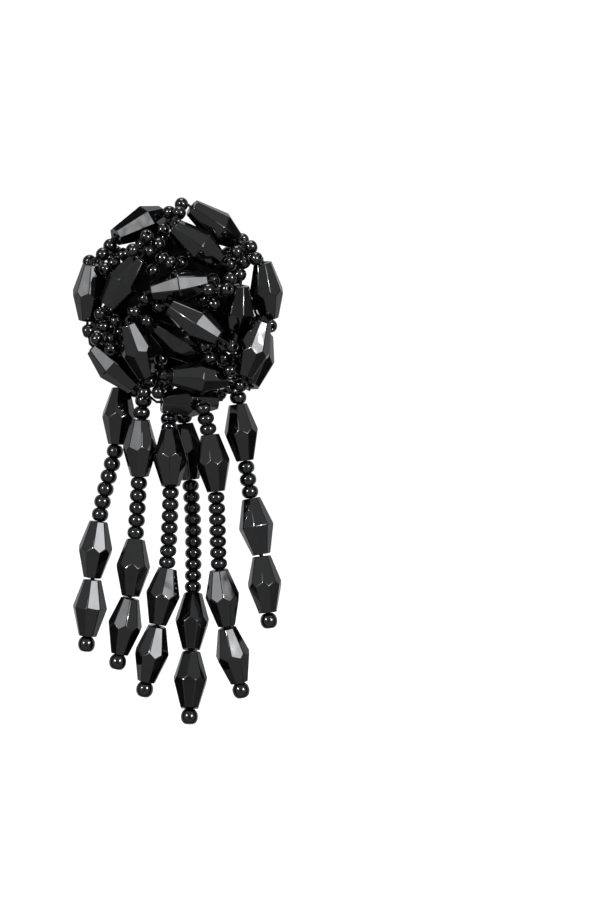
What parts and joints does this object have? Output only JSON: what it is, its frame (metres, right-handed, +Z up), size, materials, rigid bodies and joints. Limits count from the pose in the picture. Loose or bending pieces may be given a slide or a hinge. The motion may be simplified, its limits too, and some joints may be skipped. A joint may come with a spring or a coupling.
{
  "type": "chandelier earring",
  "caption": "Beaded earring: a dome of black faceted beads over a disc, with strings of beads hanging below it and a post behind.",
  "frame": {"origin": "where the post leaves the back of the disc", "axes": "+Z up towards the top of the dome, -Y out of the face, +Y along the post into the ear"},
  "size_m": [0.0393, 0.0292, 0.0975],
  "materials": {
    "jet_bead": "faceted, polished, opaque black",
    "jet_string": "polished opaque black beads on black thread",
    "backing": "black disc",
    "post": "bright steel"
  },
  "bodies": {
    "root": {"dome_bead_rim_1": "jet_bead", "dome_bead_rim_2": "jet_bead", "dome_bead_rim_3": "jet_bead", "dome_bead_rim_4": "jet_bead", "dome_bead_rim_5": "jet_bead", "dome_bead_rim_6": "jet_bead", "dome_bead_rim_7": "jet_bead", "dome_bead_front_1": "jet_bead", "dome_bead_front_2": "jet_bead", "dome_bead_front_3": "jet_bead", "dome_bead_front_4": "jet_bead", "dome_bead_front_5": "jet_bead", "dome_bead_front_6": "jet_bead", "dome_bead_top_1": "jet_bead", "dome_bead_top_2": "jet_bead", "dome_bead_top_3": "jet_bead", "dome_seeds_top": "jet_string", "dome_seeds_top_left": "jet_string", "dome_seeds_upper": "jet_string", "dome_seeds_top_right": "jet_string", "dome_seeds_right": "jet_string", "dome_seeds_middle": "jet_string", "dome_seeds_left": "jet_string", "dome_seeds_far_right": "jet_string", "dome_seeds_lower_right": "jet_string", "dome_seeds_bottom_left": "jet_string", "dome_seeds_bottom_right": "jet_string", "strand_1": "jet_string", "strand_2": "jet_string", "strand_3": "jet_string", "strand_4": "jet_string", "strand_5": "jet_string", "strand_6": "jet_string", "backing_disc": "backing", "ear_post": "post"}
  },
  "joints": []
}
